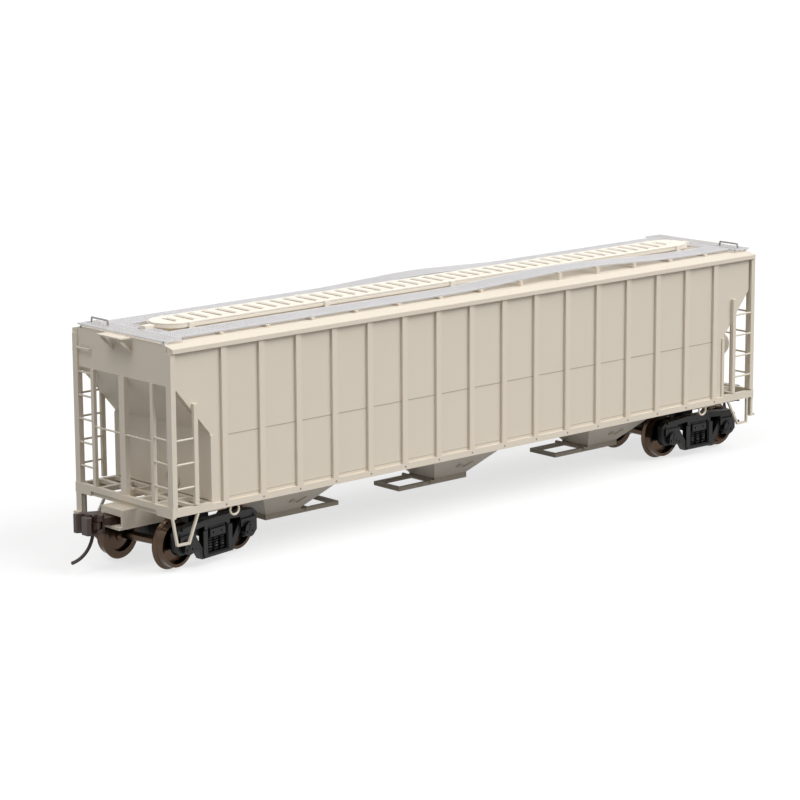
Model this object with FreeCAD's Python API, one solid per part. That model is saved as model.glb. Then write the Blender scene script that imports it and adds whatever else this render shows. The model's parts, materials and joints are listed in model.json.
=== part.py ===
import FreeCAD, Part
import math
import os

# Scale model of a three-bay covered hopper car.
# +X points to the brake end (end b), +Z is up, and z = 0 is where the wheel flanges stand.
# Lengths are in millimetres. Names ending in _x, _y or _z are distances from the model's centre.

# ---------------------------------------------------------------- driving sizes
# body shell
body_half_length = 95.0
body_half_width = 17.6
sheet = 1.0
sill_bottom_z = 14.2
sill_height = 1.5
eave_z = 51.9
eave_height = 1.0
eave_half_width = 18.6
rib_count = 16
rib_pitch = 10.73
rib_width = 1.55
rib_depth = 0.6
side_end_x = 84.4
corner_post_width = 1.8
corner_post_depth = 1.3
end_sheet_bottom_z = 43.4
slope_foot_z = 31.6

# roof and hatch
roof_rise = 0.7
roof_shoulder_y = 15.4
coaming_top_z = 53.75
coaming_inset = 0.8
hatch_half_width = 5.4
hatch_end_x = 86.4
hatch_skirt_height = 0.35
hatch_flange = 0.3
hatch_groove_height = 0.12
hatch_groove_depth = 0.35
hatch_crown_height = 0.28
hatch_crown_inset = 0.25
hatch_rib_pitch = 4.0
hatch_rib_width = 2.5
hatch_rib_height = 0.28
hatch_rib_half_length = 3.6
hatch_fit = 0.1
clamp_count = 5
clamp_pitch = 39.8
clamp_width = 1.4
clamp_thickness = 0.4
latch_length = 2.6
latch_width = 1.8

# running boards
board_thickness = 0.3
board_width = 7.0
board_outer_y = 13.9
board_top_z = 53.43
board_end_x = 90.0
# centre, half length and height of each board's bow
bow_right = (33.0, 42.0, 1.3)
bow_left = (3.0, 32.0, 0.95)
bracket_count = 13
bracket_pitch = 13.2
bracket_shift = 1.3
bracket_width = 0.9
bracket_bar = 0.45
bracket_overhang = 0.7
walkway_half_width = 15.9
walkway_gap = 0.4
step_half_width = 4.4
step_depth = 3.0
step_drop = 0.55
grab_x = 92.5
grab_inner_y = 8.3
grab_outer_y = 14.6
grab_height = 1.1

# discharge bays
bay_count = 3
bay_pitch = 53.0
outlet_half_length = 5.3
outlet_half_width = 4.6
outlet_top_z = 6.2
gate_height = 1.35
gate_rail_height = 1.0
gate_reach = 16.9
gate_bar = 0.85
funnel_slope_x = 0.96
funnel_slope_y = 1.04
funnel_wall = 0.8

# end platforms and underframe
platform_top_z = 16.3
end_sill_height = 2.4
end_sill_half_width = 18.2
end_sill_outer_x = 95.6
end_sill_thickness = 1.0
stringer_width = 1.3
stringer_y = 9.6
centre_sill_half_width = 3.4
centre_sill_bottom_z = 12.5
floor_plate = 0.8

# draft gear and couplers
draft_front_x = 98.8
draft_inner_x = 87.0
draft_half_width = 4.0
draft_bottom_z = 10.1
draft_wall = 0.7
draft_lid = 0.6
draft_lid_lip = 1.0
coupler_z = 11.25
coupler_pivot_x = 90.5
coupler_face_x = 107.0
shank_height = 1.7
shank_width = 1.9
shank_clearance = 0.25
head_height = 4.4
knuckle_height = 4.0
knuckle_pin_r = 0.45
trip_pin_r = 0.4
trip_pin_bend_r = 6.6

# trucks
truck_centre_x = 81.05
truck_turn_a = 10.2
truck_turn_b = -1.2
wheelbase = 20.4
tread_r = 5.25
flange_r = 5.94
flange_width = 0.75
wheel_width = 2.79
wheel_back_y = 7.25
axle_r = 1.05
axle_tip_y = 12.7
journal_clearance = 0.06
frame_inner_y = 10.9
frame_outer_y = 12.7
bearing_cap_y = 13.8
bearing_r = 1.75
bolster_half_width = 2.7
kingpin_r = 1.2
kingpin_clearance = 0.08
screw_head_r = 2.0
bolster_low_z = 6.3
centre_plate_r = 3.4
centre_plate_top_z = 11.6
centre_plate_gap = 0.1
spring_r = 0.85
spring_seat_z = 2.9

# ladders, posts and wires
stile = 1.1
stile_thickness = 0.8
rung_r = 0.24
wire_r = 0.22
rung_pitch = 5.45
first_rung_z = 20.4
step_strap = 0.5
step_drop_z = 7.8
ring_r = 1.25

# brake gear at end b
reservoir_r = 3.0
reservoir_z = 27.8
reservoir_x = 90.6
reservoir_half_length = 7.0
brake_wheel_r = 3.1
ballast_length = 13.0
ballast_width = 28.0
ballast_height = 11.0

# ---------------------------------------------------------------- derived places
axle_z = flange_r
sheet_inner_y = body_half_width - sheet
first_rib_x = -rib_pitch * (rib_count - 1) / 2
end_inner_x = body_half_length - sheet
outlet_bottom_z = outlet_top_z - gate_height
funnel_top_z = outlet_top_z + (sheet_inner_y - outlet_half_width) / funnel_slope_y
bay_xs = [bay_pitch * (n - (bay_count - 1) / 2) for n in range(bay_count)]
coaming_foot_z = eave_z + roof_rise
hatch_top_z = coaming_top_z + hatch_flange + hatch_groove_height + hatch_crown_height
coaming_half_width = hatch_half_width - coaming_inset
coaming_end_x = hatch_end_x - coaming_inset
platform_inner_x = side_end_x
floor_top_z = platform_top_z - 0.3
draft_top_z = platform_top_z - end_sill_height
sill_top_z = floor_top_z - floor_plate
walkway_outer_x = body_half_length + 0.4


# ---------------------------------------------------------------- shape helpers
def vec(x, y, z):
    return FreeCAD.Vector(x, y, z)


def block(x0, x1, y0, y1, z0, z1):
    """Box between two opposite corners, given in any order."""
    low = vec(min(x0, x1), min(y0, y1), min(z0, z1))
    return Part.makeBox(abs(x1 - x0), abs(y1 - y0), abs(z1 - z0), low)


def prism(points, push):
    """Closed flat outline swept along the vector push."""
    wire = Part.makePolygon(points + [points[0]])
    return Part.Face(wire).extrude(push)


def prism_xz(points, y0, y1):
    """Outline given as (x, z), swept from y0 to y1."""
    return prism([vec(x, y0, z) for x, z in points], vec(0, y1 - y0, 0))


def prism_yz(points, x0, x1):
    """Outline given as (y, z), swept from x0 to x1."""
    return prism([vec(x0, y, z) for y, z in points], vec(x1 - x0, 0, 0))


def prism_xy(points, z0, z1):
    """Outline given as (x, y), swept from z0 to z1."""
    return prism([vec(x, y, z0) for x, y in points], vec(0, 0, z1 - z0))


def rod(start, end, radius):
    """Round bar between two points."""
    line = end.sub(start)
    return Part.makeCylinder(radius, line.Length, start, line)


def bent_wire(points, radius):
    """Round wire through the points, with a ball at each bend."""
    solid = rod(points[0], points[1], radius)
    for here, there in zip(points[1:], points[2:]):
        solid = solid.fuse(Part.makeSphere(radius, here))
        solid = solid.fuse(rod(here, there, radius))
    return solid.removeSplitter()


def fuse_all(shapes):
    """One solid from pieces that touch or overlap."""
    solid = shapes[0]
    if len(shapes) > 1:
        solid = shapes[0].multiFuse(shapes[1:])
    return solid.removeSplitter()


def mirror_x(shape):
    return shape.mirror(vec(0, 0, 0), vec(1, 0, 0))


def mirror_y(shape):
    return shape.mirror(vec(0, 0, 0), vec(0, 1, 0))


def half_turn(shape):
    """The same piece at the opposite corner of the car."""
    turned = shape.copy()
    turned.rotate(vec(0, 0, 0), vec(0, 0, 1), 180)
    return turned


def at_end(shape, end_sign):
    """A piece modelled at end b (+X), moved to the end that end_sign names."""
    return shape if end_sign > 0 else mirror_x(shape)


def solids_of(shapes):
    """Several separate solids in one shape."""
    found = []
    for shape in shapes:
        found.extend(shape.Solids)
    return Part.makeCompound(found)


# ---------------------------------------------------------------- body shell
def side_panel():
    """Right-hand side (-Y): sheet, ribs, side sill and eave strip in one panel."""
    corner_x = body_half_length - corner_post_depth
    sheet_top = eave_z - eave_height
    outline = [
        (-side_end_x, sill_bottom_z), (side_end_x, sill_bottom_z),
        (side_end_x, slope_foot_z), (corner_x, end_sheet_bottom_z - 0.7),
        (corner_x, sheet_top), (-corner_x, sheet_top),
        (-corner_x, end_sheet_bottom_z - 0.7), (-side_end_x, slope_foot_z),
    ]
    outer = -body_half_width
    pieces = [prism_xz(outline, outer, outer + sheet)]
    for n in range(rib_count):
        centre = first_rib_x + n * rib_pitch
        pieces.append(block(centre - rib_width / 2, centre + rib_width / 2,
                            outer - rib_depth, outer + sheet / 2,
                            sill_bottom_z + sill_height / 2, sheet_top + 0.2))
    pieces.append(block(-side_end_x, side_end_x, outer - rib_depth, outer + sheet / 2,
                        sill_bottom_z, sill_bottom_z + sill_height))
    pieces.append(block(-body_half_length, body_half_length, -eave_half_width, outer + sheet,
                        sheet_top, eave_z))
    end_strip = block(side_end_x - 0.9, side_end_x, outer - rib_depth / 2, outer + sheet / 2,
                      sill_bottom_z, slope_foot_z - 0.5)
    pieces.extend([end_strip, mirror_x(end_strip)])
    return fuse_all(pieces)


def end_sheet():
    """Upright sheet at the top of end b, between the corner posts."""
    half = end_sill_half_width - corner_post_width
    plate = block(end_inner_x, body_half_length, -half, half, end_sheet_bottom_z, eave_z)
    return plate


def slope_sheet():
    """Sloping end floor from the end sheet down to the first discharge bay."""
    run = end_inner_x + sheet - side_end_x
    rise = end_sheet_bottom_z - slope_foot_z
    drop = sheet * math.hypot(run, rise) / run
    outline = [
        (body_half_length, end_sheet_bottom_z), (end_inner_x - 0.4, end_sheet_bottom_z),
        (side_end_x - sheet, slope_foot_z + drop - rise * sheet / run),
        (side_end_x - sheet, slope_foot_z), (side_end_x, slope_foot_z),
    ]
    return prism_xz(outline, -sheet_inner_y, sheet_inner_y)


def bulkhead(with_port):
    """Upright wall under the slope sheet; end a has a round port in it."""
    wall = block(side_end_x - sheet, side_end_x, -sheet_inner_y, sheet_inner_y,
                 platform_top_z, slope_foot_z)
    if not with_port:
        return wall
    port_y = -4.0
    port_z = 19.2
    port_r = 2.1
    collar = Part.makeCylinder(port_r + 0.35, 0.5, vec(side_end_x - 0.1, port_y, port_z), vec(1, 0, 0))
    hole = Part.makeCylinder(port_r, 3 * sheet, vec(side_end_x - 2 * sheet, port_y, port_z), vec(1, 0, 0))
    return wall.fuse(collar).cut(hole).removeSplitter()


def roof():
    """Roof sheet with its shallow shoulders and the raised coaming under the hatch."""
    inner = sheet_inner_y
    outline = [
        (-eave_half_width, eave_z), (eave_half_width, eave_z),
        (roof_shoulder_y, coaming_foot_z), (-roof_shoulder_y, coaming_foot_z),
    ]
    cap = prism_yz(outline, -body_half_length, body_half_length)
    liner = block(-end_inner_x, end_inner_x, -inner, inner, eave_z - sheet, eave_z)
    coaming = rounded_bar(coaming_end_x, coaming_half_width, coaming_foot_z - 0.1, coaming_top_z)
    return fuse_all([cap, liner, coaming])


def rounded_bar(half_length, half_width, z0, z1):
    """Long block with half-round ends."""
    straight = half_length - half_width
    bar = block(-straight, straight, -half_width, half_width, z0, z1)
    for side in (-1, 1):
        bar = bar.fuse(Part.makeCylinder(half_width, z1 - z0, vec(side * straight, 0, z0)))
    return bar.removeSplitter()


def hatch_cover():
    """Trough hatch cover: skirt and flange, a groove, and a crown plate with close cross ribs."""
    flange_top = coaming_top_z + hatch_flange
    outer = rounded_bar(hatch_end_x, hatch_half_width, coaming_top_z - hatch_skirt_height, flange_top)
    inner = rounded_bar(coaming_end_x + hatch_fit, coaming_half_width + hatch_fit,
                        coaming_top_z - hatch_skirt_height, coaming_top_z)
    neck = rounded_bar(hatch_end_x - hatch_crown_inset - hatch_groove_depth,
                       hatch_half_width - hatch_crown_inset - hatch_groove_depth,
                       flange_top, flange_top + hatch_groove_height)
    crown = rounded_bar(hatch_end_x - hatch_crown_inset, hatch_half_width - hatch_crown_inset,
                        flange_top + hatch_groove_height, hatch_top_z)
    half = hatch_rib_width / 2
    shoulder = half - hatch_rib_height
    count = int((hatch_end_x - hatch_half_width / 2) / hatch_rib_pitch)
    ribs = []
    for n in range(-count, count + 1):
        x = n * hatch_rib_pitch
        profile = [(x - half, hatch_top_z), (x - shoulder, hatch_top_z + hatch_rib_height),
                   (x + shoulder, hatch_top_z + hatch_rib_height), (x + half, hatch_top_z)]
        reach = hatch_rib_half_length if abs(n) < count else hatch_rib_half_length / 2
        ribs.append(prism_xz(profile, -reach, reach))
    return fuse_all([outer.cut(inner), neck, crown] + ribs)


def hatch_clamps():
    """Hold-down straps over the hatch edge, a row on each side, and a latch at each end."""
    low = coaming_foot_z
    first = -clamp_pitch * (clamp_count - 1) / 2
    edge = -hatch_half_width
    straps = []
    for n in range(clamp_count):
        centre = first + n * clamp_pitch
        strap = block(centre - clamp_width / 2, centre + clamp_width / 2, edge - clamp_thickness, edge,
                      low, hatch_top_z)
        straps.extend([strap, mirror_y(strap)])
    latch = block(hatch_end_x, hatch_end_x + latch_length, -latch_width / 2, latch_width / 2,
                  low, coaming_top_z + hatch_flange)
    straps.extend([latch, mirror_x(latch)])
    return solids_of(straps)


# ---------------------------------------------------------------- roof walkways
def bow_height(x, bow):
    """Height that a board stands above its straight line at x."""
    centre, half_length, height = bow
    away = abs(x - centre) / half_length
    if away >= 1:
        return 0.0
    return height * 0.5 * (1 + math.cos(math.pi * away))


def running_board(bow):
    """Right-hand roof board (-Y), bowed up as the bow says."""
    centre, half_length, _ = bow
    spans = 6
    top = []
    for n in range(-spans, spans + 1):
        x = centre + n * half_length / spans
        top.append(vec(x, -board_outer_y, board_top_z + bow_height(x, bow)))
    curve = Part.BSplineCurve()
    flat = vec(1, 0, 0)
    curve.interpolate(top, InitialTangent=flat, FinalTangent=flat)
    start = vec(-board_end_x, -board_outer_y, board_top_z)
    end = vec(board_end_x, -board_outer_y, board_top_z)
    down = vec(0, 0, -board_thickness)
    edges_top = [Part.makeLine(start, top[0]), curve.toShape(), Part.makeLine(top[-1], end)]
    low_curve = curve.copy()
    low_curve.translate(down)
    edges_low = [
        Part.makeLine(start.add(down), top[0].add(down)), low_curve.toShape(),
        Part.makeLine(top[-1].add(down), end.add(down)),
    ]
    closing = [Part.makeLine(start, start.add(down)), Part.makeLine(end, end.add(down))]
    outline = Part.Wire(Part.__sortEdges__(edges_top + edges_low + closing))
    return Part.Face(outline).extrude(vec(0, board_width, 0))


def end_walkway():
    """Walkway across the roof at end b, which joins the two boards and reaches in to the hatch."""
    low = board_top_z - board_thickness
    half = walkway_half_width
    pieces = [block(board_end_x, walkway_outer_x, -half, half, low, board_top_z)]
    post = block(walkway_outer_x - 1.2, walkway_outer_x - 0.4, -half + 0.2, -half + 1.0, eave_z, low)
    tongue = block(hatch_end_x + walkway_gap, board_end_x, -board_outer_y + board_width + walkway_gap,
                   -latch_width / 2 - walkway_gap, low, board_top_z)
    for piece in (post, tongue):
        pieces.extend([piece, mirror_y(piece)])
    return fuse_all(pieces)


def end_step():
    """Small step outside the end sheet at end b, on two sloping struts."""
    low = board_top_z - step_drop - board_thickness
    inner = walkway_outer_x + 0.1
    outer = inner + step_depth
    pieces = [block(inner, outer, -step_half_width, step_half_width, low, low + board_thickness)]
    foot_z = 49.4
    strut_y = 3.3
    strut_half_width = 0.3
    for y in (-strut_y, strut_y):
        strut = [
            (body_half_length, foot_z - 0.4), (body_half_length, foot_z + 0.4),
            (outer - 0.5, low + 0.1), (outer - 0.1, low + 0.1), (outer - 0.1, low - 0.4),
        ]
        pieces.append(prism_xz(strut, y - strut_half_width, y + strut_half_width))
    return fuse_all(pieces)


def board_brackets():
    """Cross brackets that carry the running boards, with a small post at each outer end."""
    low = coaming_foot_z
    high = board_top_z - board_thickness
    first = bracket_shift - bracket_pitch * (bracket_count - 1) / 2
    found = []
    for side, bow in ((-1, bow_right), (1, bow_left)):
        for n in range(bracket_count):
            x = first + n * bracket_pitch
            top = high + bow_height(x, bow)
            inner = side * (board_outer_y - board_width)
            outer = side * (board_outer_y + bracket_overhang)
            bar = block(x - bracket_width / 2, x + bracket_width / 2, inner, outer, top - bracket_bar, top)
            post = block(x - bracket_width / 2, x + bracket_width / 2, outer - side * bracket_overhang,
                         outer, low, top)
            found.append(fuse_all([bar, post]))
    return solids_of(found)


def roof_grabs():
    """Bent wire grab irons on the end walkways."""
    foot = board_top_z
    high = foot + grab_height
    x = grab_x
    near = bent_wire([vec(x, -grab_inner_y, foot), vec(x, -grab_inner_y - 0.2, high),
                      vec(x, -grab_outer_y + 0.2, high), vec(x, -grab_outer_y, foot)], wire_r)
    return solids_of([near, half_turn(near)])


# ---------------------------------------------------------------- discharge bays
def pyramid(centre_x, z0, z1, inset):
    """Four-sided funnel block that widens upward; inset thins it for the hollow."""
    def ring(z):
        half_x = outlet_half_length + (z - outlet_top_z) * funnel_slope_x - inset
        half_y = outlet_half_width + (z - outlet_top_z) * funnel_slope_y - inset
        points = [
            vec(centre_x - half_x, -half_y, z), vec(centre_x + half_x, -half_y, z),
            vec(centre_x + half_x, half_y, z), vec(centre_x - half_x, half_y, z),
        ]
        return Part.makePolygon(points + [points[0]])
    return Part.makeLoft([ring(z0), ring(z1)], True)


def hopper_bay(centre_x):
    """Hollow discharge funnel under the body, open at its top and at its outlet."""
    outer = pyramid(centre_x, outlet_top_z, funnel_top_z, 0.0)
    wall_slant = funnel_wall * math.hypot(1, funnel_slope_x)
    inner = pyramid(centre_x, outlet_top_z - 0.5, funnel_top_z + 0.5, wall_slant)
    return outer.cut(inner)


def outlet_gate(centre_x, reach_sign):
    """Sliding gate frame under a funnel, with the rails that its plate runs out on."""
    near = centre_x - reach_sign * outlet_half_length
    far = centre_x + reach_sign * gate_reach
    low = outlet_bottom_z
    top = outlet_top_z
    half = outlet_half_width
    body = block(near, centre_x + reach_sign * outlet_half_length, -half, half, low, top)
    rails = block(near, far, -half, half, low, low + gate_rail_height)
    opening = block(centre_x + reach_sign * outlet_half_length, far - reach_sign * gate_bar,
                    -half + gate_bar, half - gate_bar, low - 1, top + 1)
    frame = rails.cut(opening).fuse(body)
    outlet = block(centre_x - outlet_half_length + gate_bar, centre_x + outlet_half_length - gate_bar,
                   -half + gate_bar, half - gate_bar, low - 1, low + 0.6)
    shaft_x = centre_x + reach_sign * (outlet_half_length + 1.5)
    shaft_r = 0.4
    shaft_overhang = 0.7
    shaft = Part.makeCylinder(shaft_r, 2 * (half + shaft_overhang),
                              vec(shaft_x, -half - shaft_overhang, low + gate_rail_height), vec(0, 1, 0))
    return fuse_all([frame.cut(outlet), shaft])


def ridge_sheets():
    """Peaked sheets that close the body between neighbouring bays."""
    found = []
    for here, there in zip(bay_xs, bay_xs[1:]):
        reach = outlet_half_length + (funnel_top_z - outlet_top_z) * funnel_slope_x
        left = here + reach
        right = there - reach
        middle = (left + right) / 2
        peak = funnel_top_z + (middle - left) / funnel_slope_x
        slant = funnel_wall * math.hypot(1, funnel_slope_x) / funnel_slope_x
        outline = [
            (left, funnel_top_z), (left + slant * funnel_slope_x, funnel_top_z), (middle, peak - slant),
            (right - slant * funnel_slope_x, funnel_top_z), (right, funnel_top_z), (middle, peak),
        ]
        found.append(prism_xz(outline, -sheet_inner_y, sheet_inner_y))
    return solids_of(found)


# ---------------------------------------------------------------- underframe
def funnel_edge(z):
    """Half length of a funnel at height z."""
    return outlet_half_length + (z - outlet_top_z) * funnel_slope_x


def centre_sill():
    """Centre sill lengths between the bays and out to the draft boxes, with the body bolsters."""
    top = sill_top_z
    low = centre_sill_bottom_z
    half = centre_sill_half_width
    reach = funnel_edge(top) + 0.3
    spans = [(-draft_inner_x, bay_xs[0] - reach)]
    for here, there in zip(bay_xs, bay_xs[1:]):
        spans.append((here + reach, there - reach))
    spans.append((bay_xs[-1] + reach, draft_inner_x))
    found = []
    for start, end in spans:
        found.append(block(start, end, -half, half, low, top))
    for index, side in ((0, -1), (-1, 1)):
        centre = side * truck_centre_x
        bolster = block(centre - 2.6, centre + 2.6, -15.5, 15.5, low + 0.6, top)
        pad_low = centre_plate_top_z + centre_plate_gap
        pad = Part.makeCylinder(centre_plate_r, low - pad_low + 0.2, vec(centre, 0, pad_low))
        hole = Part.makeCylinder(kingpin_r, low, vec(centre, 0, pad_low - 1))
        found[index] = fuse_all([found[index], bolster, pad]).cut(hole)
    return solids_of(found)


def floor_plates():
    """Flat floor over each truck, from the bulkhead to the first funnel."""
    found = []
    for side, centre in ((-1, bay_xs[0]), (1, bay_xs[-1])):
        inner = centre + side * (funnel_edge(floor_top_z) + 0.05)
        found.append(block(inner, side * side_end_x, -sheet_inner_y, sheet_inner_y,
                           sill_top_z, floor_top_z))
    return solids_of(found)


def platform():
    """End platform at end b: end sill, side rails, stringers, cross bar and corner bracket."""
    top = platform_top_z
    low = top - end_sill_height
    outer = end_sill_outer_x
    inner = platform_inner_x
    half = end_sill_half_width
    rail_low = sill_bottom_z
    end_sill = block(outer - end_sill_thickness, outer, -half, half, low, top)
    cut_half = 12.3
    recess = block(outer - end_sill_thickness / 2, outer + 1, -cut_half, cut_half, low - 1, low + 1.1)
    pieces = [end_sill.cut(recess)]
    for side in (-1, 1):
        pieces.append(block(inner, outer - 0.5, side * half, side * (half - 1.2), rail_low, top - 0.3))
        pieces.append(block(inner, outer - 0.5, side * (stringer_y + stringer_width), side * stringer_y,
                            low + 1.0, top - 0.2))
        pieces.append(block(inner, outer - 0.5, side * centre_sill_half_width,
                            side * (centre_sill_half_width + 0.9), low + 0.4, top - 0.2))
    cross_x = inner + 4.0
    pieces.append(block(cross_x, cross_x + 1.2, -half + 0.5, half - 0.5, sill_top_z, top - 0.3))
    pieces.append(block(inner, inner + 1.0, -half + 0.5, half - 0.5, sill_top_z, top - 0.3))
    bracket = prism_xz([(outer - 0.8, low + 0.5), (outer, low + 0.5), (outer, 9.6), (outer + 0.9, 9.6),
                        (outer + 0.9, 9.1), (outer - 0.8, 9.1)], -half + 0.2, -half + 2.2)
    pieces.append(bracket)
    return fuse_all(pieces)


def end_posts():
    """Corner posts and centre post at end b."""
    low = platform_top_z
    high = eave_z - eave_height
    outer = end_sill_outer_x - 0.2
    inner = outer - corner_post_depth
    half = end_sill_half_width
    side = half - corner_post_width
    found = []
    for sign in (-1, 1):
        found.append(block(inner, outer, sign * side, sign * half, low, high))
    centre_inner = body_half_length
    found.append(block(centre_inner - 0.9, outer, -1.0, 1.0, low, end_sheet_bottom_z))
    return solids_of(found)


def ladder(stile_at, post_at, rung_zs, stile_top, across):
    """Upright stile with rungs that reach to the corner post. across is 'x' or 'y'."""
    x, y = stile_at
    px, py = post_at
    low = platform_top_z
    half_x = stile / 2
    half_y = stile / 2
    if across == "y":
        half_x = stile_thickness / 2
    else:
        half_y = stile_thickness / 2
    pieces = [block(x - half_x, x + half_x, y - half_y, y + half_y, low, stile_top)]
    for z in rung_zs:
        pieces.append(rod(vec(x, y, z), vec(px, py, z), rung_r))
    return fuse_all(pieces)


def ladders():
    """The four ladders at end b: two across the end, two along the sides."""
    end_x = end_sill_outer_x - 0.6
    side_y = body_half_width + 0.4
    side_x = 87.6
    post_y = end_sill_half_width - corner_post_width
    post_x = end_sill_outer_x - 0.2 - corner_post_depth
    tall = [first_rung_z + n * rung_pitch for n in range(5)]
    short = tall[:3]
    mid = tall[:4]
    stile_end_y = 11.0
    high = end_sheet_bottom_z
    found = [
        ladder((end_x, -stile_end_y), (end_x, -post_y), tall, high, "y"),
        ladder((end_x, stile_end_y), (end_x, post_y), short, high, "y"),
        ladder((side_x, -side_y), (post_x, -side_y), mid, 41.0, "x"),
        ladder((side_x + 1.2, side_y), (post_x, side_y), short, 39.0, "x"),
    ]
    return solids_of(found)


def handrails():
    """Wire handrail across each end and a grab iron high on the end sheet."""
    x = end_sill_outer_x - 0.6
    z = 30.2
    rail = rod(vec(x, -10.4, z), vec(x, 10.4, z), wire_r)
    centre_gap = block(x - 2, x + 2, -1.0, 1.0, z - 1, z + 1)
    grab_z = 47.9
    face = body_half_length
    grab = bent_wire([vec(face, -11.5, grab_z), vec(face + 0.8, -11.5, grab_z),
                      vec(face + 0.8, -16.0, grab_z), vec(face, -16.0, grab_z)], wire_r)
    rails = rail.cut(centre_gap)
    return solids_of([rails, half_turn(rails), grab, half_turn(grab)])


def sill_steps():
    """Flat strap steps hanging below the side sills, one pattern at each pair of corners."""
    y = end_sill_half_width
    top = sill_bottom_z
    drop = step_drop_z
    wide = [(95.5, top), (94.3, drop), (91.0, drop), (88.4, top)]
    slim = [(93.2, top), (93.2, drop), (89.8, drop), (86.0, top)]
    found = []
    for points, side in ((wide, 1), (slim, -1)):
        strap = []
        for (x0, z0), (x1, z1) in zip(points, points[1:]):
            run = math.hypot(x1 - x0, z1 - z0)
            nx = (z1 - z0) / run * step_strap / 2
            nz = -(x1 - x0) / run * step_strap / 2
            quad = [(x0 + nx, z0 + nz), (x1 + nx, z1 + nz), (x1 - nx, z1 - nz), (x0 - nx, z0 - nz)]
            strap.append(prism_xz(quad, side * (y - 0.6), side * y))
        corners = [rod(vec(x, side * (y - 0.6), z), vec(x, side * y, z), step_strap / 2)
                   for x, z in points[1:3]]
        piece = fuse_all(strap + corners)
        piece = piece.common(block(80, 100, -30, 30, 0, top))
        found.extend([piece, half_turn(piece)])
    return solids_of(found)


def tie_rings():
    """Round pulling rings under the side sills."""
    found = []
    for x in (-77.9, 76.4):
        for side in (-1, 1):
            centre = vec(x, side * (body_half_width + 0.1), sill_bottom_z - ring_r + 0.35)
            found.append(Part.makeTorus(ring_r, 0.25, centre, vec(0, 1, 0)))
    top = sill_bottom_z
    keep = block(-100, 100, -30, 30, 0, top)
    return solids_of([ring.common(keep) for ring in found])


def ballast_weights():
    """Plain steel weights inside the body, standing on the floor over each truck."""
    found = []
    outer = side_end_x - sheet - 0.5
    for side in (-1, 1):
        found.append(block(side * (outer - ballast_length), side * outer, -ballast_width / 2,
                           ballast_width / 2, floor_top_z, floor_top_z + ballast_height))
    return solids_of(found)


# ---------------------------------------------------------------- brake gear, end b
def air_reservoir():
    """Cross-mounted air reservoir with domed ends on two stands."""
    half = reservoir_half_length
    centre_y = -5.0
    barrel = Part.makeCylinder(reservoir_r, 2 * half, vec(reservoir_x, centre_y - half, reservoir_z), vec(0, 1, 0))
    edges = [edge for edge in barrel.Edges if edge.Curve.TypeId == "Part::GeomCircle"]
    barrel = barrel.makeFillet(1.4, edges)
    pieces = [barrel]
    for y, foot in ((centre_y - half + 2.0, platform_top_z - 0.2), (centre_y + half - 2.0, sill_top_z)):
        pieces.append(block(reservoir_x - 0.6, reservoir_x + 0.6, y - 0.5, y + 0.5,
                            foot, reservoir_z - reservoir_r + 0.6))
    return fuse_all(pieces)


def brake_valve():
    """Control valve block on its pedestal beside the reservoir."""
    y = 7.0
    x = 89.9
    low = platform_top_z - 0.3
    pedestal = block(x - 1.0, x + 1.0, y - 1.0, y + 1.0, low, low + 2.4)
    body = block(x - 1.9, x + 1.9, y - 1.3, y + 1.3, low + 2.2, low + 5.4)
    round_cap = Part.makeCylinder(1.2, 2.4, vec(x, y + 0.8, low + 4.0), vec(0, 1, 0))
    return fuse_all([pedestal, body, round_cap])


def hand_brake():
    """Brake wheel and gear housing on the end sheet of end b."""
    y = 6.0
    z = 38.5
    face = end_sill_outer_x - 0.2
    housing = block(face - 1.4, face + 0.4, y - 2.0, y + 2.0, z - 2.4, z + 2.4)
    stand = block(face - 1.0, face, y - 0.6, y + 0.6, platform_top_z, z)
    top_stand = block(face - 1.0, face, y - 0.6, y + 0.6, z, end_sheet_bottom_z)
    hub = Part.makeCylinder(0.6, 1.6, vec(face, y, z), vec(1, 0, 0))
    rim = Part.makeTorus(brake_wheel_r, 0.22, vec(face + 1.4, y, z), vec(1, 0, 0))
    spokes = []
    for n in range(5):
        angle = math.radians(90 + 72 * n)
        tip = vec(face + 1.4, y + brake_wheel_r * math.cos(angle), z + brake_wheel_r * math.sin(angle))
        spokes.append(rod(vec(face + 1.4, y, z), tip, 0.18))
    return fuse_all([housing, stand, top_stand, hub, rim] + spokes)


# ---------------------------------------------------------------- draft gear and couplers
def draft_box():
    """Coupler pocket under end b, open at its front, with a lid plate below."""
    half = draft_half_width
    shell = block(draft_inner_x, draft_front_x, -half, half, draft_bottom_z, draft_top_z)
    pocket_top = coupler_z + shank_height / 2 + shank_clearance
    pocket = block(draft_inner_x + draft_wall, draft_front_x + 1, -half + draft_wall, half - draft_wall,
                   draft_bottom_z - 1, pocket_top)
    lid = block(draft_inner_x, draft_front_x + draft_lid_lip, -half, half,
                draft_bottom_z - draft_lid, draft_bottom_z)
    post = Part.makeCylinder(0.9, pocket_top - draft_bottom_z + 0.2,
                             vec(coupler_pivot_x, 0, draft_bottom_z - 0.1))
    return fuse_all([shell.cut(pocket), lid, post])


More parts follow.
